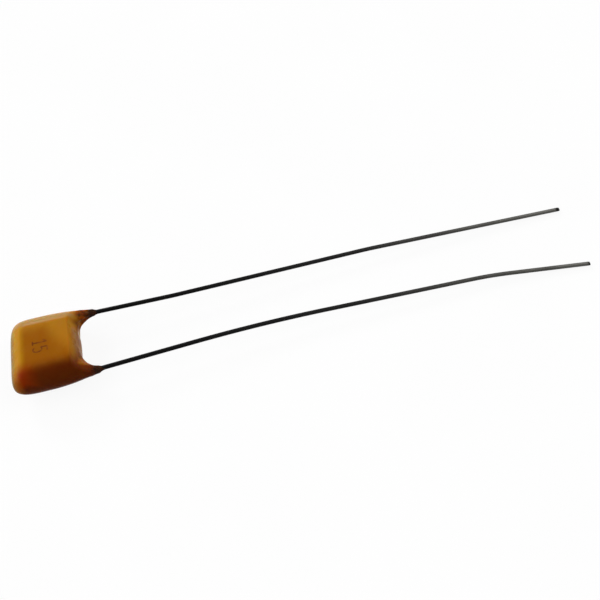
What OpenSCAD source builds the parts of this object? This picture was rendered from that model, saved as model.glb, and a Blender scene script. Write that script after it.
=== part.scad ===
// Multilayer ceramic capacitor with radial leads and a dipped epoxy coat, lying flat.
// Sizes are in millimetres. The leads run along +X and stand apart along Y.
// The underside lies on z = 0, and the origin is under the middle of the chip.

/* [Leads] */
// Distance between the two lead axes where they leave the coat
lead_pitch = 5.08; // [4.9:0.02:5.4]
// Diameter of the tinned wire
lead_d = 0.36; // [0.3:0.01:0.42]
// Straight wire between the end of a leg and the bend that lets it down to the table
exit_run = 0.2; // [0.1:0.1:1]
// Radius of the bends where a lead leaves the coat
exit_r = 20; // [15:1:24]
// Radius of the short bends in the leads
bend_r = 40; // [25:1:60]
// Swelling of the wire's diameter where it is bent
bend_swell = 0.004; // [0.003:0.001:0.01]
// Far lead: straight length before its outward bend
far_first = 5; // [3:0.2:8]
// Far lead: outward bend in degrees
far_out = 1.6; // [0.8:0.1:3]
// Far lead: straight length between its bends
far_mid = 16; // [12:0.5:20]
// Far lead: bend back in degrees
far_back = 1.9; // [0.8:0.1:3]
// Far lead: straight free end
far_end = 18; // [12:0.2:22]
// Near lead: inward lean in degrees, which starts beside the edge of the chip
near_lean = 3.3; // [2:0.1:4.5]
// Near lead: straight length before its sweep
near_first = 6.6; // [4:0.2:9]
// Near lead: long sweep back outward in degrees
near_sweep = 4.5; // [3:0.1:7]
// Near lead: radius of that sweep
sweep_r = 140; // [100:5:180]
// Near lead: straight length after the sweep
near_run = 12.9; // [9:0.1:16]
// Near lead: kink toward its free end in degrees
near_kink = 5.2; // [2:0.1:7]
// Near lead: straight free end
near_end = 7.2; // [5:0.2:11]

/* [Chip] */
// Width of the ceramic block along the leads
chip_w = 3.2; // [2.9:0.05:3.4]
// Thickness of the ceramic block
chip_t = 1.6; // [1.3:0.05:1.8]
// Radius along the long edges of the block
chip_r = 0.12; // [0.06:0.01:0.2]
// Thickness of the end caps
cap_t = 0.06; // [0.04:0.01:0.1]
// Length of block that each end cap wraps
cap_band = 0.6; // [0.4:0.05:0.8]

/* [Electrodes] */
// Number of plates on each end cap
plate_pairs = 5; // [3:1:6]
// Thickness of a plate
plate_t = 0.03; // [0.02:0.005:0.04]
// Bare ceramic beside the plates
plate_margin = 0.35; // [0.25:0.05:0.5]
// Bare ceramic between a plate and the other end cap
plate_gap = 0.7; // [0.4:0.05:0.9]
// Ceramic above the top plate and below the bottom one
plate_cover = 0.25; // [0.15:0.01:0.35]

/* [Solder] */
// Solder between an end cap and its lead
solder_film = 0.03; // [0.02:0.005:0.05]
// Half height of the solder where it meets the end cap
solder_foot = 0.45; // [0.35:0.05:0.6]
// Solder standing above the wire at the lip of the joint
solder_lip = 0.04; // [0.02:0.01:0.06]
// Share of the wire's diameter that the solder wraps
solder_wrap = 0.7; // [0.6:0.05:0.8]
// Distance from the ends of the chip to the ends of the solder
solder_inset = 0.4; // [0.3:0.05:0.6]
// Wire that runs on past the solder inside the coat
lead_stub = 0.1; // [0.05:0.05:0.2]

/* [Coat] */
// Coat over each face of the chip
face_skin = 0.63; // [0.55:0.01:0.8]
// Coat outside the far lead
far_skin = 0.36; // [0.28:0.01:0.5]
// Coat outside the near lead
near_skin = 0.43; // [0.35:0.01:0.55]
// Coat beyond the chip at the closed end
end_skin = 1.2; // [1.05:0.01:1.4]
// Coat beyond the chip at the middle of the saddle between the legs
saddle_skin = 0.64; // [0.55:0.01:0.85]
// Width of the rounded rim along the far side
far_rim = 1.3; // [1.1:0.05:1.4]
// Width of the rounded rim along the near side
near_rim = 1.6; // [1.4:0.05:1.7]
// Width of the rounded rim along the closed end
end_rim = 1.3; // [1.1:0.05:1.4]
// Width of the rounded rim along the saddle
saddle_rim = 0.35; // [0.25:0.05:0.5]
// Fullness of the rim along the sides, where 1 is a bevel and 2 an ellipse
side_bevel = 1.8; // [1.6:0.05:2.2]
// Fullness of the rim along the closed end
end_bevel = 1.4; // [1.3:0.05:1.8]
// Fullness of the rim along the saddle
saddle_bevel = 2.2; // [1.8:0.05:2.6]
// Squareness of the outline at the closed end, where 2 is an ellipse
outline_power = 5.5; // [4.5:0.25:7]
// Squareness of the flats at the closed end, where 2 is an ellipse
flat_power = 8; // [6:0.25:10]
// Corner radius of the flats on the side of the legs
flat_corner = 0.35; // [0.25:0.05:0.45]

/* [Legs] */
// Length of the legs beyond the saddle
leg_len = 1.35; // [1:0.05:1.8]
// Coat around the wire at the end of a leg
leg_wall = 0.08; // [0.06:0.01:0.12]
// How fast the coat falls away from the flats toward a leg
leg_fall = 2.2; // [1.8:0.1:2.6]
// Share of that fall that follows a round rim
leg_round = 0.17; // [0.1:0.01:0.3]
// How fast a leg narrows to its tip
tip_taper = 6; // [4:0.25:7]
// How late a leg leaves the side of the coat for its wire, where 1 is steadily
leg_tuck = 0.6; // [0.4:0.05:1]
// How late the sides turn in toward the legs
shoulder_power = 1.6; // [1.3:0.1:2.4]
// Share of the saddle's span over which its curve keeps the direction of the far leg
far_pull = 0.62; // [0.5:0.02:0.7]
// Share of the saddle's span over which its curve keeps the direction of the near leg
near_pull = 0.42; // [0.3:0.02:0.5]
// Share of the saddle's far half that stays nearly straight
far_straight = 0.85; // [0.7:0.01:0.9]
// Share of the saddle's near half that stays nearly straight
near_straight = 0.55; // [0.4:0.01:0.7]

/* [Hidden] */
lead_r = lead_d / 2;
lead_y = lead_pitch / 2;
body_t = chip_t + 2 * cap_t + 2 * face_skin;
mid_z = body_t / 2;

// The chip fits between the leads, and its end caps count in its length
chip_l = lead_pitch - lead_d - 2 * solder_film;
block_y = chip_l / 2 - cap_t;
plate_x = chip_w / 2 - plate_margin;
plate_count = 2 * plate_pairs;
plate_span = chip_t - 2 * plate_cover - plate_t;
solder_x = chip_w / 2 - solder_inset;
solder_out = solder_film + solder_wrap * lead_d;
lead_in_x = -solder_x - lead_stub;

// Plan of the coat
far_w = lead_y + lead_r + far_skin;
near_w = lead_y + lead_r + near_skin;
end_x = chip_w / 2 + cap_t + end_skin;
saddle_x = chip_w / 2 + cap_t + saddle_skin;
leg_x = saddle_x + leg_len;
leg_r = lead_r + leg_wall;
flat_x = (end_rim - end_x + saddle_x - saddle_rim) / 2;

// Where the near lead leans, and how far in it is at the end of its leg
lean_x = chip_w / 2;
lean_run = leg_x - lean_x - exit_r * sin(near_lean);
lean_in = exit_r * (1 - cos(near_lean)) + lean_run * tan(near_lean);

// Halves of the coat: width, rim, place of the leg, and pull and straight share of the saddle
far_half = [far_w, far_rim, lead_y, far_pull, far_straight];
near_half = [near_w, near_rim, lead_y - lean_in, near_pull, near_straight];

// Where the legs start on the flat, and how far their tips would run if they were not cut square
leg_root = saddle_x - saddle_rim - flat_corner;
cut_share = leg_share(asin(leg_r / mid_z));
leg_reach = (leg_x - leg_root - tip_half(cut_share)) / cut_share;

// Steps around one half of the outline and up the rim
end_n = 12;
shoulder_n = 14;
tip_n = 6;
saddle_n = 18;
rim_step = 7.5;
rim_n = round(180 / rim_step);
edge_n = 4;
wire_n = 72;
bend_lap = 0.05;
solder_lap = 0.03;
trim = 2;

// Wire formers' steps: straight length, bend in degrees, bend radius, roll of the bend
far_bends = [
    [far_first, far_out, bend_r, 0],
    [far_mid, -far_back, bend_r, 0],
    [far_end, 0, bend_r, 0]
];
near_bends = [
    [near_first, -near_sweep, sweep_r, 0],
    [near_run, -near_kink, bend_r, 0],
    [near_end, 0, bend_r, 0]
];

// Share of a leg's reach at an angle up the rim, and half the width of its tip there
function leg_share(up) = leg_round * cos(up) + (1 - leg_round) * pow(1 - abs(sin(up)), leg_fall);
function tip_half(share) = leg_r + (flat_corner - leg_r) * pow(1 - share, tip_taper);

// Edge of the closed end from its middle to the side, in shares of its length and half width
function end_share(s, power) =
    let (corner = pow(0.5, 1 / power))
    s < 1 ? [squared(corner * s, power), corner * s] : [corner * (2 - s), squared(corner * (2 - s), power)];
function squared(share, power) = pow(1 - pow(share, power), 1 / power);

// A point of the curve that leaves one end toward the first pull and nears the other from the second
function curve_at(ends, pulls, t) =
    pow(1 - t, 3) * ends[0] + 3 * pow(1 - t, 2) * t * pulls[0]
    + 3 * (1 - t) * pow(t, 2) * pulls[1] + pow(t, 3) * ends[1];

// Share of a rim's width by which the outline has drawn in at an angle up the rim
function drawn_in(up, bevel) = 1 - squared(abs(sin(up)), bevel);

// Half of the outline at an angle up the rim: closed end, shoulder, tip of the leg and saddle
function half_outline(up, part) =
    let (
        side = part[0] - part[1] * drawn_in(up, side_bevel),
        end = end_x - end_rim * drawn_in(up, end_bevel),
        saddle = [saddle_x - saddle_rim * drawn_in(up, saddle_bevel), 0],
        power = flat_power + (outline_power - flat_power) * cos(up),
        share = leg_share(up),
        half = tip_half(share),
        tucked = (part[0] - leg_r - part[2]) * pow(share, leg_tuck),
        tip = [leg_root + leg_reach * share, side - half - tucked],
        turn = 90 + 90 * share,
        inner = tip + half * [sin(turn), cos(turn)],
        pull = inner + part[3] * norm(inner - saddle) * [cos(turn), -sin(turn)],
        level = [saddle.x, part[4] * inner.y]
    )
    concat(
        [
            for (j = [0 : 2 * end_n - 1])
                let (s = end_share(j / end_n, power))
                [flat_x - (end + flat_x) * s.x, side * s.y]
        ],
        [
            for (j = [0 : shoulder_n - 1])
                let (k = j / shoulder_n)
                [flat_x + (tip.x - flat_x) * k, side - (side - tip.y - half) * pow(k, shoulder_power)]
        ],
        [for (j = [0 : tip_n]) tip + half * [sin(turn * j / tip_n), cos(turn * j / tip_n)]],
        [for (j = [1 : saddle_n]) curve_at([inner, saddle], [pull, level], j / saddle_n)]
    );
function outline(up) =
    let (near = half_outline(up, near_half))
    concat(half_outline(up, far_half), [for (j = [len(near) - 2 : -1 : 1]) [near[j].x, -near[j].y]]);

// How far a bent lead reaches along its own plane, and the slope that sets its end on the table
function reach(bends, i = 0, dir = 0) =
    i == len(bends) ? 0 :
    let (turned = dir + bends[i][1])
    bends[i][0] * cos(dir) + bends[i][2] * abs(sin(turned) - sin(dir)) + reach(bends, i + 1, turned);
function droop(far_reach) =
    let (first = asin((mid_z - lead_r) / far_reach))
    asin((mid_z - lead_r * cos(first)) / (far_reach + exit_r * tan(first / 2)));

function rounded_rect(a, b, r) = [
    for (q = [0 : 3], i = [0 : edge_n])
        let (turn = 90 * (q + i / edge_n))
        [sign(cos(90 * q + 45)) * (a / 2 - r) + r * cos(turn), sign(sin(90 * q + 45)) * (b / 2 - r) + r * sin(turn)]
];

module coat_form() {
    corners = [
        for (i = [0 : rim_n])
            let (up = i * rim_step - 90)
            for (p = outline(up))
                [p.x, p.y, mid_z * (1 + sin(up))]
    ];
    n = len(outline(0));
    corner = 2 * end_n + shoulder_n + tip_n / 2;
    rim_a = [
        for (i = [0 : rim_n - 1], j = [0 : n - 1])
            [i * n + j, i * n + (j + 1) % n, (i + 1) * n + (j + 1) % n]
    ];
    rim_b = [
        for (i = [0 : rim_n - 1], j = [0 : n - 1])
            [i * n + j, (i + 1) * n + (j + 1) % n, (i + 1) * n + j]
    ];
    top = [[for (j = [0 : n - 1]) rim_n * n + (corner + j) % n]];
    underside = [[for (j = [n - 1 : -1 : 0]) (corner + j) % n]];
    polyhedron(points = corners, faces = concat(rim_a, rim_b, top, underside));
}

module leg_trim() {
    translate([leg_x, -near_w - trim, -trim])
        cube([leg_reach + trim, far_w + near_w + 2 * trim, body_t + 2 * trim]);
}

// A length of the chip's section along Y, grown on all sides
module chip_bar(grow, y0, y1) {
    translate([0, y1, mid_z])
        rotate([90, 0, 0])
            linear_extrude(y1 - y0)
                polygon(rounded_rect(chip_w + 2 * grow, chip_t + 2 * grow, chip_r + grow));
}

module block_form() {
    chip_bar(0, -block_y, block_y);
}

module cap_form(side) {
    y0 = side > 0 ? chip_l / 2 - cap_band : -chip_l / 2;
    chip_bar(cap_t, y0, y0 + cap_band);
}

module plates(side, first) {
    for (i = [first : 2 : plate_count - 1])
        translate([
            -plate_x,
            side > 0 ? plate_gap - block_y : -block_y,
            mid_z - (plate_span + plate_t) / 2 + plate_span * i / (plate_count - 1)
        ])
            cube([2 * plate_x, 2 * block_y - plate_gap, plate_t]);
}

// Solder between an end cap and its lead, with a root that laps into the cap
module solder_form(side) {
    foot = chip_l / 2;
    lip = lead_r + solder_lip;
    root = solder_foot + (solder_foot - lip) * solder_lap / solder_out;
    translate([-solder_x, 0, mid_z])
        rotate([90, 0, 90])
            linear_extrude(2 * solder_x)
                polygon([
                    [side * (foot - solder_lap), -root],
                    [side * (foot + solder_out), -lip],
                    [side * (foot + solder_out), lip],
                    [side * (foot - solder_lap), root]
                ]);
}

module wire_straight(length) {
    rotate([0, 90, 0])
        cylinder(h = length, d = lead_d, $fn = wire_n);
}

module wire_bend(turn, radius) {
    rotate([turn < 0 ? 180 : 0, 0, 0])
        translate([0, radius, 0])
            rotate([0, 0, -90])
                rotate_extrude(angle = abs(turn), $fn = wire_n)
                    translate([radius, 0])
                        circle(d = lead_d + bend_swell, $fn = wire_n);
}

module past_bend(turn, radius) {
    translate([radius * sin(abs(turn)), sign(turn) * radius * (1 - cos(turn)), 0])
        rotate([0, 0, turn])
            children();
}

// A wire that starts at the origin along +X and takes its steps one after another.
// Each straight length laps into the bends beside it.
module wire_run(bends, i = 0) {
    if (i < len(bends)) {
        length = bends[i][0];
        turn = bends[i][1];
        radius = bends[i][2];
        roll = bends[i][3];
        lap_in = i > 0 ? bend_lap : 0;
        lap_out = turn != 0 ? bend_lap : 0;
        translate([-lap_in, 0, 0])
            wire_straight(lap_in + length + lap_out);
        if (turn != 0)
            translate([length, 0, 0])
                rotate([roll, 0, 0]) {
                    wire_bend(turn, radius);
                    past_bend(turn, radius)
                        rotate([-roll, 0, 0])
                            wire_run(bends, i + 1);
                }
    }
}

// A lead runs straight out of its leg, or leans in inside it, and is let down to the table
module lead(side, bends, lean = 0) {
    straight = leg_x - lead_in_x + exit_run;
    leaned = lean_x - lead_in_x;
    slope = droop(reach(bends));
    translate([lead_in_x, side * lead_y, mid_z])
        if (lean == 0)
            wire_run(concat([[straight, slope, exit_r, -90]], bends));
        else
            wire_run(concat([[leaned, lean, exit_r, 0], [lean_run + exit_run, slope, exit_r, -90]], bends));
}

module epoxy_coat() {
    color([0.6, 0.36, 0.07])
        difference() {
            coat_form();
            leg_trim();
            block_form();
            cap_form(1);
            cap_form(-1);
            solder_form(1);
            solder_form(-1);
            lead(1, far_bends);
            lead(-1, near_bends, near_lean);
        }
}

module ceramic_block() {
    color([0.86, 0.82, 0.74])
        difference() {
            block_form();
            plates(1, 0);
            plates(-1, 1);
        }
}

module plates_far() {
    color([0.72, 0.72, 0.75])
        plates(1, 0);
}

module plates_near() {
    color([0.66, 0.66, 0.7])
        plates(-1, 1);
}

module cap_far() {
    color([0.8, 0.8, 0.78])
        difference() {
            cap_form(1);
            block_form();
        }
}

module cap_near() {
    color([0.8, 0.8, 0.78])
        difference() {
            cap_form(-1);
            block_form();
        }
}

module solder_far() {
    color([0.6, 0.61, 0.63])
        difference() {
            solder_form(1);
            cap_form(1);
            lead(1, far_bends);
        }
}

module solder_near() {
    color([0.6, 0.61, 0.63])
        difference() {
            solder_form(-1);
            cap_form(-1);
            lead(-1, near_bends, near_lean);
        }
}

module lead_far() {
    color([0.2, 0.2, 0.2])
        lead(1, far_bends);
}

module lead_near() {
    color([0.2, 0.2, 0.2])
        lead(-1, near_bends, near_lean);
}

epoxy_coat();
ceramic_block();
plates_far();
plates_near();
cap_far();
cap_near();
solder_far();
solder_near();
lead_far();
lead_near();
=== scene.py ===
# %% [markdown]
# # A dipped ceramic capacitor on a white table
#
# The real part is a ceramic block the size of a lentil. A stiff wire is soldered to each of its
# ends, and the whole was dipped head first into ochre epoxy, which ran down the wires and set as
# two short legs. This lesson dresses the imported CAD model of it: the coat and the wires are
# rebuilt as smooth meshes, the number on the coat is added, every piece gets a finish made of
# nodes, and a plain white table, soft light and a camera close the scene.
#
# Everything is in metres and in the CAD frame: +X runs along the wires, +Y goes to the far wire,
# and the table is z = 0. Sizes are written in millimetres and multiplied by MM.

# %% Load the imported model
import math

import bmesh
import bpy
from mathutils import Matrix, Vector, noise
from mathutils.bvhtree import BVHTree


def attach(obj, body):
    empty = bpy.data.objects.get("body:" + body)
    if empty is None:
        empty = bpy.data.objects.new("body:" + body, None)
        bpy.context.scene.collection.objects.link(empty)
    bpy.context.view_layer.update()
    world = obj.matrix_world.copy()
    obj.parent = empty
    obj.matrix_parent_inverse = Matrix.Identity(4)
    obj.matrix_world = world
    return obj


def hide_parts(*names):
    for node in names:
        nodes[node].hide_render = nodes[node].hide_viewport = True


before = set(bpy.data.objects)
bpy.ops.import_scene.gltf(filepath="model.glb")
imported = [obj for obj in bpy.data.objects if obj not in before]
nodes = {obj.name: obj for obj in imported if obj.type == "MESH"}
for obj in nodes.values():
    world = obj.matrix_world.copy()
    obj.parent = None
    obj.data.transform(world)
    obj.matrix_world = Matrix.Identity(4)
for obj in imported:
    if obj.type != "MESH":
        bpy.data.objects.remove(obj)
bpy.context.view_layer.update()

MM = 0.001
print("CAD nodes:", ", ".join(sorted(nodes)))

# %% [markdown]
# ## Where the camera stands
#
# A photograph's perspective can be kept as a place, two angles and a lens. The photograph looks
# down at 62 degrees, turned 15 degrees, from about 5 cm away, and that nearness is why the coat
# shows some of its saddle side. The three axes of the camera are written out as a matrix, because
# aiming at a target would not give the same picture.

# %% Camera
CAMERA_AT = Vector((14.57, -21.09, 41.22)) * MM
TURN = math.radians(-15.12)
HEIGHT = math.radians(62.0)
LENS_MM, SENSOR_MM = 33.0, 36.0
CLIP_NEAR, CLIP_FAR = 1 * MM, 20.0

level_share = math.cos(HEIGHT)
back = Vector((math.sin(TURN) * level_share, -math.cos(TURN) * level_share, math.sin(HEIGHT)))
right = Vector((math.cos(TURN), math.sin(TURN), 0.0))
up = back.cross(right)

camera = bpy.data.objects.new("camera", bpy.data.cameras.new("camera"))
camera.data.lens = LENS_MM
camera.data.sensor_width = SENSOR_MM
camera.data.clip_start = CLIP_NEAR
camera.data.clip_end = CLIP_FAR
camera.matrix_world = Matrix.Translation(CAMERA_AT) @ Matrix((right, up, back)).transposed().to_4x4()
bpy.context.scene.collection.objects.link(camera)
bpy.context.scene.camera = camera
print("Camera at", [round(v / MM, 2) for v in CAMERA_AT], "mm, lens", LENS_MM, "mm")

# %% [markdown]
# ## The sizes of the coat
#
# The coat is drawn from the same sizes as the CAD solid, so that the smooth mesh sits exactly
# where the solid is. A flat on each face meets a rim that is bevelled at the closed end and rounder
# along the sides, and the sides run out into a leg along each wire. Between the legs the coat hangs
# in a saddle. The far and the near half differ a little, because a dip is never quite even, and the
# near wire leans inward inside its leg.

# %% Sizes of the coat and the wire
WIRE_R = 0.18
WIRE_Y = 2.54
MID_Z = 1.49
END_X = 2.86
SADDLE_X = 2.3
LEG_X = 3.65
END_RIM, SADDLE_RIM = 1.3, 0.35
SIDE_BEVEL, END_BEVEL, SADDLE_BEVEL = 1.8, 1.4, 2.2
OUTLINE_POWER, FLAT_POWER = 5.5, 8.0
FLAT_CORNER = 0.35
LEG_R = WIRE_R + 0.08
LEG_FALL, LEG_ROUND, LEG_TUCK = 2.2, 0.17, 0.6
TIP_TAPER = 6
SHOULDER_POWER = 1.6
LEAN, LEAN_X, EXIT_R = math.radians(3.3), 1.6, 20.0
LEAN_RUN = LEG_X - LEAN_X - EXIT_R * math.sin(LEAN)
LEAN_IN = EXIT_R * (1 - math.cos(LEAN)) + LEAN_RUN * math.tan(LEAN)
FAR = dict(width=3.08, rim=1.3, leg_y=WIRE_Y, pull=0.62, straight=0.85)
NEAR = dict(width=3.15, rim=1.6, leg_y=WIRE_Y - LEAN_IN, pull=0.42, straight=0.55)
FLAT_X = (END_RIM - END_X + SADDLE_X - SADDLE_RIM) / 2
LEG_ROOT = SADDLE_X - SADDLE_RIM - FLAT_CORNER


def leg_share(up):
    """Share of a leg's reach at an angle up the rim."""
    fall = max(0.0, 1 - abs(math.sin(up))) ** LEG_FALL
    return LEG_ROUND * max(0.0, math.cos(up)) + (1 - LEG_ROUND) * fall


def tip_half(share):
    """Half the width of a leg's tip."""
    return LEG_R + (FLAT_CORNER - LEG_R) * (1 - share) ** TIP_TAPER


CUT_SHARE = leg_share(math.asin(LEG_R / MID_Z))
LEG_REACH = (LEG_X - LEG_ROOT - tip_half(CUT_SHARE)) / CUT_SHARE
print("Coat:", END_X + LEG_X, "by", FAR["width"] + NEAR["width"], "by", 2 * MID_Z, "mm")

# %% [markdown]
# ## One outline for every level
#
# Sculpting the coat would be one way, and metaballs another. A loft is exact: at every level the
# coat has the same outline, drawn in more and more toward the flat. Each half goes from the middle
# of the closed end, along the side, around the tip of the leg and into the saddle.

# %% The outline at an angle up the rim
END_N, SHOULDER_N, TIP_N, SADDLE_N = 22, 26, 12, 34


def squared(share, power):
    """The other leg of a rounded square, where a power of 2 is a circle."""
    return max(0.0, 1 - share ** power) ** (1 / power)


def curve_at(ends, pulls, t):
    """A point of a cubic curve."""
    s = 1 - t
    return s ** 3 * ends[0] + 3 * s * s * t * pulls[0] + 3 * s * t * t * pulls[1] + t ** 3 * ends[1]


def drawn_in(up, bevel):
    """Share of a rim's width by which it has drawn in at an angle up the rim."""
    return 1 - squared(min(1.0, abs(math.sin(up))), bevel)


def half_outline(up, part):
    """Points of one half at an angle up the rim."""
    side = part["width"] - part["rim"] * drawn_in(up, SIDE_BEVEL)
    end = END_X - END_RIM * drawn_in(up, END_BEVEL)
    saddle = Vector((SADDLE_X - SADDLE_RIM * drawn_in(up, SADDLE_BEVEL), 0))
    power = FLAT_POWER + (OUTLINE_POWER - FLAT_POWER) * max(0.0, math.cos(up))
    share = leg_share(up)
    half = tip_half(share)
    tucked = (part["width"] - LEG_R - part["leg_y"]) * share ** LEG_TUCK
    tip = Vector((LEG_ROOT + LEG_REACH * share, side - half - tucked))
    turn = math.pi / 2 * (1 + share)
    inner = tip + half * Vector((math.sin(turn), math.cos(turn)))
    pull = inner + part["pull"] * (inner - saddle).length * Vector((math.cos(turn), -math.sin(turn)))
    level = Vector((saddle.x, part["straight"] * inner.y))
    corner = 0.5 ** (1 / power)
    points = []
    for j in range(2 * END_N):
        s = j / END_N
        if s < 1:
            x, y = squared(corner * s, power), corner * s
        else:
            x, y = corner * (2 - s), squared(corner * (2 - s), power)
        points.append(Vector((FLAT_X - (end + FLAT_X) * x, side * y)))
    for j in range(SHOULDER_N):
        k = j / SHOULDER_N
        inward = (side - tip.y - half) * k ** SHOULDER_POWER
        points.append(Vector((FLAT_X + (tip.x - FLAT_X) * k, side - inward)))
    for j in range(TIP_N + 1):
        a = turn * j / TIP_N
        points.append(tip + half * Vector((math.sin(a), math.cos(a))))
    for j in range(1, SADDLE_N + 1):
        points.append(curve_at((inner, saddle), (pull, level), j / SADDLE_N))
    return points


def outline(up):
    """The closed outline at an angle up the rim."""
    near = half_outline(up, NEAR)
    return half_outline(up, FAR) + [Vector((p.x, -p.y)) for p in near[-2:0:-1]]


print("Outline points:", len(outline(0.0)))

# %% [markdown]
# ## The coat as a mesh
#
# The outlines become rings of vertices and neighbouring rings are joined with quads. Each flat is
# filled with smaller and smaller copies of its own edge, so it stays all quads and can be bent a
# little later. The legs run past their ends in the loft: a bisect cuts them off square.

# %% Loft the coat
LEVELS = 48
CUT_DIST = 1e-5
FLAT_SHARES = (0.94, 0.86, 0.76, 0.64, 0.5, 0.35, 0.2, 0.08)


def ring_at(up, share=1.0):
    """One ring of the coat in 3-D, drawn in toward the middle of the flat by a share."""
    z = MID_Z * (1 + math.sin(up))
    return [Vector((FLAT_X + (p.x - FLAT_X) * share, p.y * share, z)) for p in outline(up)]


def lofted_coat():
    """The raw coat: rim, both flats, and legs cut off square."""
    half_turn = math.pi / 2
    rings = [ring_at(-half_turn, s) for s in reversed(FLAT_SHARES)]
    rings += [ring_at(half_turn * (2 * i / LEVELS - 1)) for i in range(LEVELS + 1)]
    rings += [ring_at(half_turn, s) for s in FLAT_SHARES]
    bm = bmesh.new()
    rows = [[bm.verts.new(p) for p in ring] for ring in rings]
    n = len(rows[0])
    for low, high in zip(rows, rows[1:]):
        for j in range(n):
            bm.faces.new((low[(j + 1) % n], low[j], high[j], high[(j + 1) % n]))
    bm.faces.new(rows[0])
    bm.faces.new(list(reversed(rows[-1])))
    bmesh.ops.bisect_plane(
        bm, geom=bm.verts[:] + bm.edges[:] + bm.faces[:],
        plane_co=(LEG_X, 0, 0), plane_no=(1, 0, 0), clear_outer=True, dist=CUT_DIST,
    )
    return bm


coat_bm = lofted_coat()
print("Lofted coat:", len(coat_bm.verts), "points,", len(coat_bm.faces), "faces")

# %% [markdown]
# ## Where the coat runs out on the wire
#
# Wet epoxy climbs a wire and thins out to nothing, so a square end would look machined. The open
# edge of each leg is pulled along the wire in a few rings that shrink to the wire's own radius,
# fast at first and then slowly, as a drop does. The last ring dips under the wire's skin.

# %% Run the legs out along the wire
RUN_OUT = 0.42
RUN_STEPS = 7
SKIN_DIP = 0.012
PLACE_DIGITS = 6


def place_key(v):
    """A vertex's place, rounded so that a copy of it can be found."""
    return tuple(round(c, PLACE_DIGITS) for c in v.co)


def run_out(bm, side, leg_y):
    """Pulls the open edge of one leg out along its wire."""
    edge = [e for e in bm.edges if e.is_boundary and side * e.verts[0].co.y > 0]
    axis_y = side * leg_y
    start = {v: v.co.copy() for e in edge for v in e.verts}
    for i in range(1, RUN_STEPS + 1):
        t = i / RUN_STEPS
        made = bmesh.ops.extrude_edge_only(bm, edges=edge)["geom"]
        fresh = [g for g in made if isinstance(g, bmesh.types.BMVert)]
        by_place = {place_key(v): p for v, p in start.items()}
        moved = {}
        for v in fresh:
            first = by_place[place_key(v)]
            off = Vector((0, first.y - axis_y, first.z - MID_Z))
            reach = off.length + (WIRE_R - SKIN_DIP - off.length) * (1 - (1 - t) ** 2)
            v.co = Vector((LEG_X + RUN_OUT * t, axis_y, MID_Z)) + off.normalized() * reach
            moved[v] = first
        start = moved
        lines = [g for g in made if isinstance(g, bmesh.types.BMEdge)]
        edge = [e for e in lines if all(v in moved for v in e.verts)]
    bmesh.ops.edgeloop_fill(bm, edges=edge)


run_out(coat_bm, 1, FAR["leg_y"])
run_out(coat_bm, -1, NEAR["leg_y"])
bmesh.ops.recalc_face_normals(coat_bm, faces=coat_bm.faces)
print("Open edges left on the coat:", sum(e.is_boundary for e in coat_bm.edges))

# %% [markdown]
# ## The unevenness of a dipped coat
#
# No mould touched this surface, so its flats are not true and its legs are crinkled where the
# epoxy shrank. Noise moves each point a little way inward along its normal: long waves all over,
# and short wrinkles that grow toward the saddle side of the legs. Moving only inward keeps the
# mesh inside the CAD solid.

# %% Uneven the coat
WAVE_MM, WAVE_SIZE, WAVE_FROM = 0.03, 2.2, Vector((3.1, 0.4, 7.7))
WAVE_MEAN, WAVE_SWING = 0.6, 0.4
WRINKLE_MM, WRINKLE_SIZE, WRINKLE_FROM = 0.05, 0.24, Vector((11.0, 5.2, 0.3))
WRINKLE_X, WRINKLE_Y, WRINKLE_END = (1.5, 2.5), (0.6, 1.8), (LEG_X + 0.3, LEG_X - 0.2)
CUT_KEEP, FLOOR_KEEP = (LEG_X - 0.3, LEG_X), (0.0, 0.25)


def smooth(a, b, v):
    """0 below a, 1 above b, and a soft step between."""
    t = min(1.0, max(0.0, (v - a) / (b - a)))
    return t * t * (3 - 2 * t)


def uneven(bm):
    """Moves the coat's points inward by noise, and gives the deepest move."""
    bm.normal_update()
    shifts = []
    for v in bm.verts:
        p = v.co
        wave = WAVE_MEAN + WAVE_SWING * noise.noise(p / WAVE_SIZE + WAVE_FROM)
        crinkle = 0.5 + 0.5 * noise.noise(p / WRINKLE_SIZE + WRINKLE_FROM)
        leg = smooth(*WRINKLE_X, p.x) * smooth(*WRINKLE_END, p.x) * smooth(*WRINKLE_Y, abs(p.y))
        keep = 1 - smooth(*CUT_KEEP, p.x)
        floor_flat = smooth(*FLOOR_KEEP, p.z)
        shifts.append(-v.normal * (WAVE_MM * wave * keep + WRINKLE_MM * crinkle * leg) * floor_flat)
    for v, shift in zip(bm.verts, shifts):
        v.co += shift
    return max(shift.length for shift in shifts)


print("Deepest dent in the coat:", round(uneven(coat_bm), 4), "mm")

# %% Coat object
def mesh_object(name, bm, smooth_faces=True):
    """A Blender object from a mesh in millimetres."""
    bmesh.ops.scale(bm, vec=(MM, MM, MM), verts=bm.verts)
    mesh = bpy.data.meshes.new(name)
    bm.to_mesh(mesh)
    bm.free()
    for face in mesh.polygons:
        face.use_smooth = smooth_faces
    obj = bpy.data.objects.new(name, mesh)
    bpy.context.scene.collection.objects.link(obj)
    return obj


coat = mesh_object("dipped_coat", coat_bm)
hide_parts("epoxy_coat")
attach(coat, "root")
print("Coat:", len(coat.data.polygons), "faces")

# %% [markdown]
# ## The number on the coat
#
# Coats like this carry a value in small print, read with the wires upward. A texture could show it,
# but it would blur up close. Here two plain digits are drawn as strokes: each is a row of points,
# and a thin ribbon of ink with round ends is laid along them. A BVH tree finds the coat's height
# under every point, so that the ink follows the uneven surface.

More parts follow.
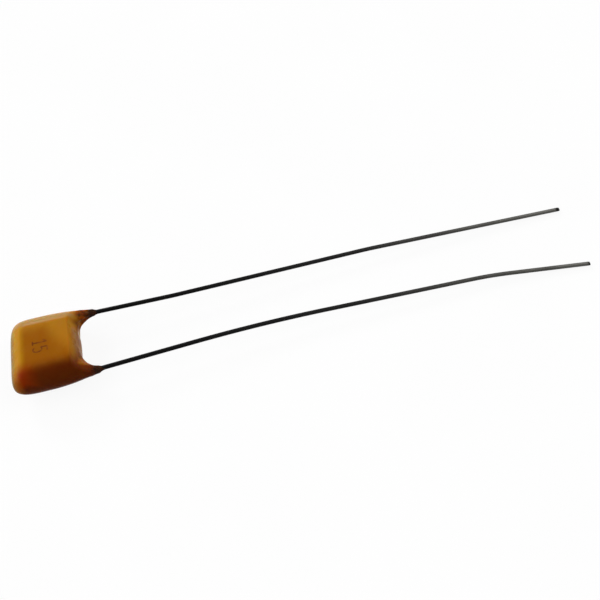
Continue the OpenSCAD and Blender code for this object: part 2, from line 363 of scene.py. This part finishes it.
# %% Draw the digits
DIGIT_HIGH, DIGIT_WIDE, DIGIT_STEP = 1.05, 0.5, 0.6
DIGIT_FOOT = Vector((-0.62, 0.46))
STROKE_HALF, STROKE_STEP = 0.055, 0.025
STROKE_END = 0.25
INK_LIFT, INK_SINK = 0.006, 0.02
DROP_FROM = 4.0
DIGITS = {
    "one": [[(0.12, 0.7), (0.55, 1.0), (0.55, 0.0)], [(0.2, 0.0), (0.9, 0.0)]],
    "five": [[(0.88, 1.0), (0.2, 1.0), (0.14, 0.55), (0.3, 0.62), (0.5, 0.64), (0.7, 0.59), (0.84, 0.48),
              (0.9, 0.32), (0.84, 0.15), (0.7, 0.04), (0.5, 0.0), (0.28, 0.03), (0.1, 0.13)]],
}
coat_tree = BVHTree.FromPolygons(
    [v.co / MM for v in coat.data.vertices], [f.vertices for f in coat.data.polygons])


def on_coat(x, y, lift):
    """A point at a height over the top of the coat."""
    hit = coat_tree.ray_cast(Vector((x, y, DROP_FROM)), Vector((0, 0, -1)))[0]
    return Vector((x, y, hit.z + lift))


def evenly(points):
    """Points a stroke's step apart along a row of points, with the direction at each."""
    made = []
    for a, b in zip(points, points[1:]):
        count = max(1, round((b - a).length / STROKE_STEP))
        made += [(a.lerp(b, i / count), (b - a).normalized()) for i in range(count)]
    return made + [(points[-1], (points[-1] - points[-2]).normalized())]


def add_stroke(bm, points):
    """A ribbon of ink along a row of points, narrowed to round ends."""
    path = evenly(points)
    span = sum((b[0] - a[0]).length for a, b in zip(path, path[1:]))
    gone, rows = 0.0, []
    for i, (at, way) in enumerate(path):
        gone += (at - path[i - 1][0]).length if i else 0.0
        inside = min(gone, span - gone, STROKE_HALF) / STROKE_HALF
        half = STROKE_HALF * max(STROKE_END, math.sqrt(1 - (1 - inside) ** 2))
        side = Vector((-way.y, way.x)) * half
        corners = ((side, -INK_SINK), (side, INK_LIFT), (-side, INK_LIFT), (-side, -INK_SINK))
        rows.append([bm.verts.new(on_coat(at.x + off.x, at.y + off.y, lift)) for off, lift in corners])
    for low, high in zip(rows, rows[1:]):
        for j in range(4):
            bm.faces.new((low[j], low[(j + 1) % 4], high[(j + 1) % 4], high[j]))
    bm.faces.new(rows[0])
    bm.faces.new(rows[-1])


numbers = {}
for order, (name, strokes) in enumerate(DIGITS.items()):
    ink_bm = bmesh.new()
    left = DIGIT_FOOT.y - order * DIGIT_STEP
    for stroke in strokes:
        places = [(DIGIT_FOOT.x + DIGIT_HIGH * v, left - DIGIT_WIDE * u) for u, v in stroke]
        add_stroke(ink_bm, [Vector(at) for at in places])
    bmesh.ops.recalc_face_normals(ink_bm, faces=ink_bm.faces)
    digit = mesh_object("digit_" + name, ink_bm, smooth_faces=False)
    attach(digit, "root")
    numbers[name] = digit
    top = max(v.co.z for v in digit.data.vertices) / MM
    print(digit.name, len(digit.data.polygons), "faces, top at", round(top, 4), "mm")

# %% [markdown]
# ## The wires
#
# A wire is a bent rod, and a bender describes it in steps: run straight, roll, bend. The same
# steps as in the CAD are walked here with a matrix that carries a small frame along the wire, and
# a ring of points is set in that frame every so often. A Blender curve with a bevel would do too,
# but this way the bends are true arcs and the ends can be shaped.

# %% Walk the wire's steps
WIRE_SIDES = 40
STRAIGHT_STEP, BEND_STEP = 0.6, math.radians(0.25)
START_X = -1.3
BEND_R, SWEEP_R = 40.0, 140.0
EXIT_RUN = 0.2
DOWN_ROLL = -math.pi / 2
# each step: straight length in mm, bend in degrees, bend radius in mm
FAR_STEPS = [(5.0, 1.6, BEND_R), (16.0, -1.9, BEND_R), (18.0, 0.0, BEND_R)]
NEAR_STEPS = [(6.6, -4.5, SWEEP_R), (12.9, -5.2, BEND_R), (7.2, 0.0, BEND_R)]


def droop(steps):
    """The slope in radians that sets the end of a wire on the table."""
    reach, heading = 0.0, 0.0
    for length, turn, radius in steps:
        turned = heading + math.radians(turn)
        reach += length * math.cos(heading) + radius * abs(math.sin(turned) - math.sin(heading))
        heading = turned
    first = math.asin((MID_Z - WIRE_R) / reach)
    return math.asin((MID_Z - WIRE_R * math.cos(first)) / (reach + EXIT_R * math.tan(first / 2)))


def bend_matrix(turn, radius):
    """The move along an arc of that turn."""
    ahead = radius * math.sin(abs(turn))
    aside = math.copysign(radius, turn) * (1 - math.cos(turn))
    return Matrix.Translation((ahead, aside, 0)) @ Matrix.Rotation(turn, 4, "Z")


def wire_frames(side, steps):
    """Frames along a wire, from inside the coat to its free end."""
    at = Matrix.Translation((START_X, side * WIRE_Y, MID_Z))
    slope = math.degrees(droop(steps))
    if side > 0:
        out = [(LEG_X - START_X + EXIT_RUN, slope, EXIT_R, DOWN_ROLL)]
    else:
        out = [
            (LEAN_X - START_X, math.degrees(LEAN), EXIT_R, 0.0),
            (LEAN_RUN + EXIT_RUN, slope, EXIT_R, DOWN_ROLL),
        ]
    frames = [at]
    for length, turn, radius, roll in out + [(*s, 0.0) for s in steps]:
        count = max(2, math.ceil(length / STRAIGHT_STEP))
        frames += [at @ Matrix.Translation((length * i / count, 0, 0)) for i in range(1, count + 1)]
        at = at @ Matrix.Translation((length, 0, 0))
        if turn:
            turn = math.radians(turn)
            lay, unlay = Matrix.Rotation(roll, 4, "X"), Matrix.Rotation(-roll, 4, "X")
            count = max(3, math.ceil(abs(turn) / BEND_STEP))
            for i in range(1, count + 1):
                frames.append(at @ lay @ bend_matrix(turn * i / count, radius) @ unlay)
            at = at @ lay @ bend_matrix(turn, radius) @ unlay
    return frames


far_frames, near_frames = wire_frames(1, FAR_STEPS), wire_frames(-1, NEAR_STEPS)
for name, frames in (("far", far_frames), ("near", near_frames)):
    print("The", name, "wire ends at", [round(v, 3) for v in frames[-1].translation], "mm")

# %% [markdown]
# ## The cut ends
#
# The free ends were nipped off with side cutters, which squeeze the wire from two sides before
# they part it. The last rings are therefore pressed flatter and flatter and close in a blunt
# ridge. The pressed ring stays within the wire's own radius.

# %% Build the wires
NIP_LENGTH = 0.2
NIP_NARROW = 0.1
NIP_STEPS = ((0.35, 0.97), (0.65, 0.84), (0.88, 0.64), (1.0, 0.42))


def wire_mesh(name, frames):
    """A round wire along its frames, with a nipped free end."""
    bm = bmesh.new()
    last = frames[-1]
    body = [f for f in frames if (f.translation - last.translation).length > NIP_LENGTH]
    stations = [(f, 1.0) for f in body]
    for t, flat in ((0.0, 1.0), *NIP_STEPS):
        stations.append((last @ Matrix.Translation((NIP_LENGTH * (t - 1), 0, 0)), flat))
    rows = []
    for f, flat in stations:
        wide = 1 - NIP_NARROW * (1 - flat)
        ring = []
        for j in range(WIRE_SIDES):
            a = 2 * math.pi * j / WIRE_SIDES
            off = Vector((0, WIRE_R * wide * math.cos(a), WIRE_R * flat * math.sin(a)))
            ring.append(bm.verts.new(f @ off))
        rows.append(ring)
    for low, high in zip(rows, rows[1:]):
        for j in range(WIRE_SIDES):
            bm.faces.new((low[j], low[(j + 1) % WIRE_SIDES], high[(j + 1) % WIRE_SIDES], high[j]))
    bm.faces.new(list(reversed(rows[0])))
    bm.faces.new(rows[-1])
    bmesh.ops.recalc_face_normals(bm, faces=bm.faces)
    return mesh_object(name, bm)


wires = {}
for node, frames in (("lead_far", far_frames), ("lead_near", near_frames)):
    wire = wire_mesh(node.replace("lead", "wire"), frames)
    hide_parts(node)
    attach(wire, "root")
    wires[node] = wire
    print(wire.name, len(wire.data.polygons), "faces")

# %% [markdown]
# ## Shared effects
#
# Three effects turn up in more than one finish, so each is a node group with its own sockets.
# Mottle is soft noise between 0 and 1, for colour that is never quite even. Along gives 0 to 1
# between two places on an axis, and Waver lets that border wander. Grain makes a normal from fine
# noise. Groups hold only masks and normals, and the shaders stay in the materials.

# %% Node groups
WAVER_SCALE = 900.0


def socket(group, name, kind, out=False, value=None):
    """Adds a socket to a group."""
    made = group.interface.new_socket(name, in_out="OUTPUT" if out else "INPUT", socket_type=kind)
    if value is not None:
        made.default_value = value


def group_tree(name):
    """A new shader group with its two ends."""
    tree = bpy.data.node_groups.new(name, "ShaderNodeTree")
    return tree, tree.nodes.new("NodeGroupInput"), tree.nodes.new("NodeGroupOutput")


def stretched_noise(tree, start):
    """Noise over an object's own coordinates, by a group's Stretch, Scale and Detail."""
    coord = tree.nodes.new("ShaderNodeTexCoord")
    mul = tree.nodes.new("ShaderNodeVectorMath")
    mul.operation = "MULTIPLY"
    tex = tree.nodes.new("ShaderNodeTexNoise")
    link = tree.links.new
    link(coord.outputs["Object"], mul.inputs[0])
    link(start.outputs["Stretch"], mul.inputs[1])
    link(mul.outputs["Vector"], tex.inputs["Vector"])
    link(start.outputs["Scale"], tex.inputs["Scale"])
    link(start.outputs["Detail"], tex.inputs["Detail"])
    return tex.outputs["Fac"]


def mottle_group():
    """Soft noise as a mask."""
    tree, start, end = group_tree("Mottle")
    for name, value in (("Scale", 500.0), ("Detail", 3.0), ("Low", 0.35), ("High", 0.65)):
        socket(tree, name, "NodeSocketFloat", value=value)
    socket(tree, "Stretch", "NodeSocketVector", value=(1.0, 1.0, 1.0))
    socket(tree, "Mask", "NodeSocketFloat", out=True)
    ramp = tree.nodes.new("ShaderNodeMapRange")
    ramp.interpolation_type = "SMOOTHSTEP"
    link = tree.links.new
    link(stretched_noise(tree, start), ramp.inputs["Value"])
    link(start.outputs["Low"], ramp.inputs["From Min"])
    link(start.outputs["High"], ramp.inputs["From Max"])
    link(ramp.outputs["Result"], end.inputs["Mask"])
    return tree


def along_group():
    """0 to 1 between two places on an axis."""
    tree, start, end = group_tree("Along")
    socket(tree, "Axis", "NodeSocketVector", value=(1.0, 0.0, 0.0))
    socket(tree, "From", "NodeSocketFloat", value=0.0)
    socket(tree, "To", "NodeSocketFloat", value=1.0)
    socket(tree, "Waver", "NodeSocketFloat", value=0.0)
    socket(tree, "Mask", "NodeSocketFloat", out=True)
    coord = tree.nodes.new("ShaderNodeTexCoord")
    dot = tree.nodes.new("ShaderNodeVectorMath")
    dot.operation = "DOT_PRODUCT"
    tex = tree.nodes.new("ShaderNodeTexNoise")
    tex.inputs["Scale"].default_value = WAVER_SCALE
    centred = tree.nodes.new("ShaderNodeMath")
    centred.operation = "SUBTRACT"
    centred.inputs[1].default_value = 0.5
    shifted = tree.nodes.new("ShaderNodeMath")
    shifted.operation = "MULTIPLY_ADD"
    ramp = tree.nodes.new("ShaderNodeMapRange")
    ramp.interpolation_type = "SMOOTHSTEP"
    link = tree.links.new
    link(coord.outputs["Object"], dot.inputs[0])
    link(start.outputs["Axis"], dot.inputs[1])
    link(coord.outputs["Object"], tex.inputs["Vector"])
    link(tex.outputs["Fac"], centred.inputs[0])
    link(centred.outputs[0], shifted.inputs[0])
    link(start.outputs["Waver"], shifted.inputs[1])
    link(dot.outputs["Value"], shifted.inputs[2])
    link(shifted.outputs[0], ramp.inputs["Value"])
    link(start.outputs["From"], ramp.inputs["From Min"])
    link(start.outputs["To"], ramp.inputs["From Max"])
    link(ramp.outputs["Result"], end.inputs["Mask"])
    return tree


def grain_group():
    """A normal from fine noise."""
    tree, start, end = group_tree("Grain")
    sizes = (("Scale", 3000.0), ("Detail", 2.0), ("Strength", 0.1), ("Distance", 0.02 * MM))
    for name, value in sizes:
        socket(tree, name, "NodeSocketFloat", value=value)
    socket(tree, "Stretch", "NodeSocketVector", value=(1.0, 1.0, 1.0))
    socket(tree, "Normal", "NodeSocketVector", out=True)
    bump = tree.nodes.new("ShaderNodeBump")
    link = tree.links.new
    link(stretched_noise(tree, start), bump.inputs["Height"])
    link(start.outputs["Strength"], bump.inputs["Strength"])
    link(start.outputs["Distance"], bump.inputs["Distance"])
    link(bump.outputs["Normal"], end.inputs["Normal"])
    return tree


MOTTLE, ALONG, GRAIN = mottle_group(), along_group(), grain_group()
print("Node groups:", [g.name for g in (MOTTLE, ALONG, GRAIN)])

# %% Helpers for materials
def finish(name):
    """A material with its Principled shader."""
    material = bpy.data.materials.new(name)
    material.use_nodes = True
    return material, material.node_tree, material.node_tree.nodes["Principled BSDF"]


def place(tree, group, **values):
    """Places a group with its own values."""
    node = tree.nodes.new("ShaderNodeGroup")
    node.node_tree = group
    for name, value in values.items():
        node.inputs[name].default_value = value
    return node


def mixed(tree, mask, low, high):
    """A colour between two others, by a mask. Colours are tuples or sockets."""
    node = tree.nodes.new("ShaderNodeMix")
    node.data_type = "RGBA"
    tree.links.new(mask, node.inputs["Factor"])
    for name, colour in (("A", low), ("B", high)):
        ends = [s for s in node.inputs if s.name == name and s.type == "RGBA"]
        if isinstance(colour, tuple):
            ends[0].default_value = (*colour, 1.0)
        else:
            tree.links.new(colour, ends[0])
    return [s for s in node.outputs if s.type == "RGBA"][0]


def ranged(tree, mask, low, high):
    """A number between two others, by a mask."""
    node = tree.nodes.new("ShaderNodeMapRange")
    tree.links.new(mask, node.inputs["Value"])
    node.inputs["To Min"].default_value = low
    node.inputs["To Max"].default_value = high
    return node.outputs["Result"]


def wear(obj, material):
    """Gives an object one material."""
    obj.data.materials.clear()
    obj.data.materials.append(material)


# %% [markdown]
# ## The epoxy
#
# The coat is a glossy, cloudy resin that lets some red light through, so its shaded edges glow.
# Over the block it is thin and ochre. Beyond the block it is thick and golden. The far rim is
# painted paler, a painted reflection, and the outer edge of the closed end is painted olive, a
# painted dark reflection. The near side is umber, partly the coat's own colour and partly painted
# shade, with a painted red glow at its left corner. Low on the far side it ran thin over the wires
# and is brown. The legs are brown and speckled, with a painted highlight at the inner root of the
# near one, and nearly black at the tips. Masks along the axes place these colours, mottling varies
# them, subsurface light and the painted red do the glow, and a faint orange peel breaks the gloss.

# %% Where the epoxy is thick and thin
LEFT_WAY, RIGHT_WAY = (-1.0, 0.0, 0.0), (1.0, 0.0, 0.0)
FAR_WAY, NEAR_WAY, DOWN_WAY = (0.0, 1.0, 0.0), (0.0, -1.0, 0.0), (0.0, 0.0, -1.0)
SADDLE_CORNER_WAY = (0.78, 0.62, 0.0)

epoxy, tree, shader = finish("dipped_epoxy")


def toward(way, start, stop, waver=0.3):
    """A mask that grows along one way between two places in millimetres."""
    node = place(tree, ALONG, Axis=way, From=start * MM, To=stop * MM, Waver=waver * MM)
    return node.outputs["Mask"]


def combined(operation, first, second):
    """Two masks joined by a Math node."""
    node = tree.nodes.new("ShaderNodeMath")
    node.operation = operation
    tree.links.new(first, node.inputs[0])
    tree.links.new(second, node.inputs[1])
    return node.outputs[0]


saddle_corner = combined("MAXIMUM", toward(SADDLE_CORNER_WAY, 0.5, 1.7), toward(FAR_WAY, 0.9, 2.0))
closed_end = combined("MULTIPLY", toward(LEFT_WAY, 1.1, 1.7, 0.1), toward(NEAR_WAY, 2.6, 1.6))
# The outer edge of the closed end is painted olive, a painted dark reflection.
end_edge_dark_reflection = toward(LEFT_WAY, 1.95, 2.7)
far_low = combined("MULTIPLY", toward(FAR_WAY, 1.6, 2.8), toward(DOWN_WAY, -2.3, -0.6, 0.5))
# The near side gets painted shade, with a painted red glow at its left corner.
near_side_shade = combined("MULTIPLY", toward(NEAR_WAY, 0.95, 2.2), toward(RIGHT_WAY, -2.6, -1.5))
glow_fade = combined("MAXIMUM", toward(RIGHT_WAY, -1.8, -0.2), toward(NEAR_WAY, 2.6, 3.0))
# The far rim's pale band is a painted reflection.
far_rim_reflection = combined("MULTIPLY", toward(FAR_WAY, 1.75, 2.15), toward(DOWN_WAY, -2.2, -2.75))
saddle_wall = combined("MULTIPLY", toward(RIGHT_WAY, 2.08, 2.4, 0.2), toward(FAR_WAY, 2.0, 1.6))
leg_rows = combined("MAXIMUM", toward(FAR_WAY, 0.9, 1.5), toward(NEAR_WAY, 1.3, 1.9))
on_leg = combined("MULTIPLY", leg_rows, toward(RIGHT_WAY, 2.3, 2.75, 0.25))
# A painted highlight at the inner root of the near leg.
root_row = combined("MULTIPLY", toward(NEAR_WAY, 1.1, 1.5), toward(NEAR_WAY, 2.2, 1.8))
root_top = combined("MULTIPLY", toward(RIGHT_WAY, 2.25, 2.5), toward(DOWN_WAY, -1.0, -1.7))
near_root_highlight = combined("MULTIPLY", root_row, root_top)
leg_tip = toward(RIGHT_WAY, 2.95, 3.5, 0.3)

# %% Dipped epoxy
OCHRE, OCHRE_PALE = (0.315, 0.1, 0.002), (0.34, 0.114, 0.003)
# Olive is a painted dark reflection. Amber and gold are the coat's own colours.
AMBER, GOLD, OLIVE_REFLECTION = (0.43, 0.175, 0.01), (0.45, 0.21, 0.005), (0.19, 0.1, 0.004)
# Ember is a painted red glow. Umber is partly the coat's colour and partly painted shade.
EMBER_GLOW, UMBER_SHADE = (0.3, 0.032, 0.0005), (0.13, 0.021, 0.0005)
SADDLE_BROWN, FAR_BROWN = (0.165, 0.042, 0.001), (0.21, 0.055, 0.002)
# A painted reflection: a pale, greyed colour for the far rim.
RIM_REFLECTION = (0.38, 0.217, 0.066)
LEG_DARK, LEG_RED, LEG_TIP = (0.1, 0.021, 0.002), (0.31, 0.068, 0.004), (0.035, 0.012, 0.005)
# A painted highlight colour for the near leg's inner root.
ROOT_HIGHLIGHT = (0.33, 0.1, 0.006)

cloud = place(tree, MOTTLE, Scale=420.0, Detail=2.0)
ochre = mixed(tree, cloud.outputs["Mask"], OCHRE, OCHRE_PALE)
golden = mixed(tree, closed_end, mixed(tree, saddle_corner, ochre, AMBER), GOLD)
painted_reflections = mixed(tree, far_rim_reflection, mixed(tree, end_edge_dark_reflection, golden, OLIVE_REFLECTION), RIM_REFLECTION)
speck = place(tree, MOTTLE, Scale=3000.0, Detail=4.0)
brown = mixed(tree, speck.outputs["Mask"], LEG_DARK, LEG_RED)
legged = mixed(tree, on_leg, mixed(tree, saddle_wall, painted_reflections, SADDLE_BROWN), brown)
# A painted red glow at the near left corner fades into umber that is partly painted shade.
painted_near_shade = mixed(tree, glow_fade, EMBER_GLOW, UMBER_SHADE)
near_shaded = mixed(tree, near_side_shade, mixed(tree, far_low, legged, FAR_BROWN), painted_near_shade)
root_highlighted = mixed(tree, near_root_highlight, near_shaded, ROOT_HIGHLIGHT)
tree.links.new(mixed(tree, leg_tip, root_highlighted, LEG_TIP), shader.inputs["Base Color"])
gloss = place(tree, MOTTLE, Scale=1500.0, Detail=3.0)
tree.links.new(ranged(tree, gloss.outputs["Mask"], 0.22, 0.32), shader.inputs["Roughness"])
peel = place(tree, GRAIN, Scale=3500.0, Strength=0.12)
tree.links.new(peel.outputs["Normal"], shader.inputs["Normal"])
shader.inputs["IOR"].default_value = 1.5
shader.inputs["Specular IOR Level"].default_value = 0.028
shader.inputs["Subsurface Weight"].default_value = 0.6
shader.inputs["Subsurface Radius"].default_value = (1.0, 0.2, 0.05)
shader.inputs["Subsurface Scale"].default_value = 0.45 * MM
wear(coat, epoxy)

# %% [markdown]
# ## The ink
#
# The print has half sunk into the resin and is only a browner ochre. Mottling rubs it away in places,
# and it is a little duller than the coat.

# %% Faded ink
INK, INK_RUBBED = (0.15, 0.034, 0.001), (0.24, 0.066, 0.002)

ink, tree, shader = finish("faded_ink")
rubbed = place(tree, MOTTLE, Scale=2600.0, Detail=3.0)
tree.links.new(mixed(tree, rubbed.outputs["Mask"], INK, INK_RUBBED), shader.inputs["Base Color"])
tree.links.new(ranged(tree, rubbed.outputs["Mask"], 0.4, 0.55), shader.inputs["Roughness"])
shader.inputs["Specular IOR Level"].default_value = 0.06
for digit in numbers.values():
    wear(digit, ink)

# %% [markdown]
# ## The wire
#
# Tinned wire is bright when new. This one has dulled, and its colour is painted from nearly black
# by the coat to grey at its free ends, a painted reflection along the wire. The colour follows X,
# drawing lines run along the wire, and small smudges change the gloss.

# %% Tinned wire
WIRE_DARK, WIRE_MID = (0.002, 0.0018, 0.0018), (0.013, 0.0125, 0.0125)
# The grey toward the free ends is a painted reflection.
WIRE_GREY_SHEEN = (0.082, 0.08, 0.073)
SMUDGE_SHARE = 0.25

tin, tree, shader = finish("tinned_wire")
inner_end = place(tree, ALONG, From=4.0 * MM, To=26.0 * MM)
outer_end = place(tree, ALONG, From=22.0 * MM, To=42.0 * MM)
cut_end = place(tree, ALONG, From=45.35 * MM, To=45.6 * MM)
grey = mixed(tree, cut_end.outputs["Mask"], WIRE_GREY_SHEEN, WIRE_DARK)
dark = mixed(tree, inner_end.outputs["Mask"], WIRE_DARK, WIRE_MID)
# Dark by the coat and grey at the free ends: a painted reflection along the wire.
sheen_tone = mixed(tree, outer_end.outputs["Mask"], dark, grey)
smudge = place(tree, MOTTLE, Scale=900.0, Detail=4.0, Stretch=(0.3, 1.0, 1.0))
smudged = ranged(tree, smudge.outputs["Mask"], 0.0, SMUDGE_SHARE)
tree.links.new(mixed(tree, smudged, sheen_tone, WIRE_DARK), shader.inputs["Base Color"])
tree.links.new(ranged(tree, smudge.outputs["Mask"], 0.38, 0.55), shader.inputs["Roughness"])
lines = place(tree, GRAIN, Scale=9000.0, Strength=0.2, Stretch=(0.05, 1.0, 1.0))
tree.links.new(lines.outputs["Normal"], shader.inputs["Normal"])
shader.inputs["Metallic"].default_value = 0.6
shader.inputs["Specular IOR Level"].default_value = 0.1
for wire in wires.values():
    wear(wire, tin)

# %% [markdown]
# ## What is sealed inside
#
# The block, its plates, end caps and solder can't be seen, but they belong to the part and may be
# looked at in a section. Their CAD solids have the right shapes, so they stay and only get finishes.

# %% Finishes of the inner pieces
INNER = {
    "ceramic": ((0.62, 0.55, 0.43), (0.7, 0.63, 0.5), 0.0, (0.6, 0.8), ("ceramic_block",)),
    "nickel": ((0.36, 0.35, 0.33), (0.46, 0.45, 0.43), 1.0, (0.35, 0.5), ("plates_far", "plates_near")),
    "end_metal": ((0.5, 0.5, 0.48), (0.6, 0.6, 0.58), 1.0, (0.3, 0.45), ("cap_far", "cap_near")),
    "solder": ((0.38, 0.39, 0.4), (0.55, 0.56, 0.57), 1.0, (0.2, 0.4), ("solder_far", "solder_near")),
}

for name, (low, high, metal, rough, members) in INNER.items():
    material, tree, shader = finish(name)
    patch = place(tree, MOTTLE, Scale=2500.0, Detail=4.0)
    tree.links.new(mixed(tree, patch.outputs["Mask"], low, high), shader.inputs["Base Color"])
    tree.links.new(ranged(tree, patch.outputs["Mask"], *rough), shader.inputs["Roughness"])
    fine = place(tree, GRAIN, Scale=12000.0, Strength=0.15)
    tree.links.new(fine.outputs["Normal"], shader.inputs["Normal"])
    shader.inputs["Metallic"].default_value = metal
    for node in members:
        wear(nodes[node], material)
    print(name, "on", ", ".join(members))

# %% [markdown]
# ## The table and the light
#
# The photograph has a plain white ground and light from behind on the left, so the side that
# faces the viewer is dark. A sun lamp lights the whole table evenly, which an area lamp this near
# would not. The white of the table and of the wall behind it is a lift that only rays from the
# camera, mirrors and glass can see, so it adds no light to the part.

# %% Table
TABLE_HALF = 1.5
PAPER, PAPER_PALE = (0.62, 0.62, 0.62), (0.66, 0.66, 0.66)
GROUND_LIFT, GROUND_WHITE = 0.88, 1.04

bm = bmesh.new()
bmesh.ops.create_grid(bm, x_segments=2, y_segments=2, size=TABLE_HALF / MM)
table = mesh_object("table", bm)
paper, tree, shader = finish("table_paper")
fleck = place(tree, MOTTLE, Scale=60.0, Detail=3.0)
tree.links.new(mixed(tree, fleck.outputs["Mask"], PAPER, PAPER_PALE), shader.inputs["Base Color"])
shader.inputs["Roughness"].default_value = 0.9
shader.inputs["Specular IOR Level"].default_value = 0.1


def seen_white(tree, share):
    """A mask with that share for rays from the camera, mirrors and glass, and 0 for the rest."""
    rays = tree.nodes.new("ShaderNodeLightPath")
    mask = rays.outputs["Is Camera Ray"]
    for name in ("Is Glossy Ray", "Is Transmission Ray"):
        either = tree.nodes.new("ShaderNodeMath")
        either.operation = "MAXIMUM"
        tree.links.new(mask, either.inputs[0])
        tree.links.new(rays.outputs[name], either.inputs[1])
        mask = either.outputs[0]
    lift = tree.nodes.new("ShaderNodeMath")
    lift.operation = "MULTIPLY"
    lift.inputs[1].default_value = share
    tree.links.new(mask, lift.inputs[0])
    return lift.outputs[0]


def blended(tree, mask, low, high, end):
    """Two shaders blended by a mask and led to the end of a tree."""
    blend = tree.nodes.new("ShaderNodeMixShader")
    for source, place_in in ((mask, 0), (low, 1), (high, 2)):
        tree.links.new(source, blend.inputs[place_in])
    tree.links.new(blend.outputs[0], end.inputs["Surface"])


white = tree.nodes.new("ShaderNodeEmission")
white.inputs["Strength"].default_value = GROUND_WHITE
lifted = seen_white(tree, GROUND_LIFT)
blended(tree, lifted, shader.outputs[0], white.outputs[0], tree.nodes["Material Output"])
wear(table, paper)

# %% Light
WORLD_LIGHT = 0.12
SUNS = {
    "left_softbox": ((-0.85, 0.25, 0.46), 2.3, 70),
    "back_softbox": ((-0.30, 0.80, 0.46), 1.4, 18),
    "right_softbox": ((0.80, 0.15, 0.58), 1.7, 60),
}


def sun(name, way, strength, angle):
    """A sun lamp that shines from a direction, as wide as an angle in degrees."""
    lamp = bpy.data.objects.new(name, bpy.data.lights.new(name, "SUN"))
    lamp.data.energy = strength
    lamp.data.angle = math.radians(angle)
    lamp.rotation_euler = Vector(way).to_track_quat("Z", "Y").to_euler()
    bpy.context.scene.collection.objects.link(lamp)


for name, (way, strength, angle) in SUNS.items():
    sun(name, way, strength, angle)
    print(name, strength, "at", angle, "degrees wide")

world = bpy.data.worlds.new("studio")
bpy.context.scene.world = world
world.use_nodes = True
tree = world.node_tree
sky = tree.nodes["Background"]
sky.inputs["Color"].default_value = (1.0, 1.0, 1.0, 1.0)
sky.inputs["Strength"].default_value = WORLD_LIGHT
wall = tree.nodes.new("ShaderNodeBackground")
wall.inputs["Color"].default_value = (1.0, 1.0, 1.0, 1.0)
blended(tree, seen_white(tree, 1.0), sky.outputs[0], wall.outputs[0], tree.nodes["World Output"])

bpy.context.scene.view_settings.view_transform = "Standard"
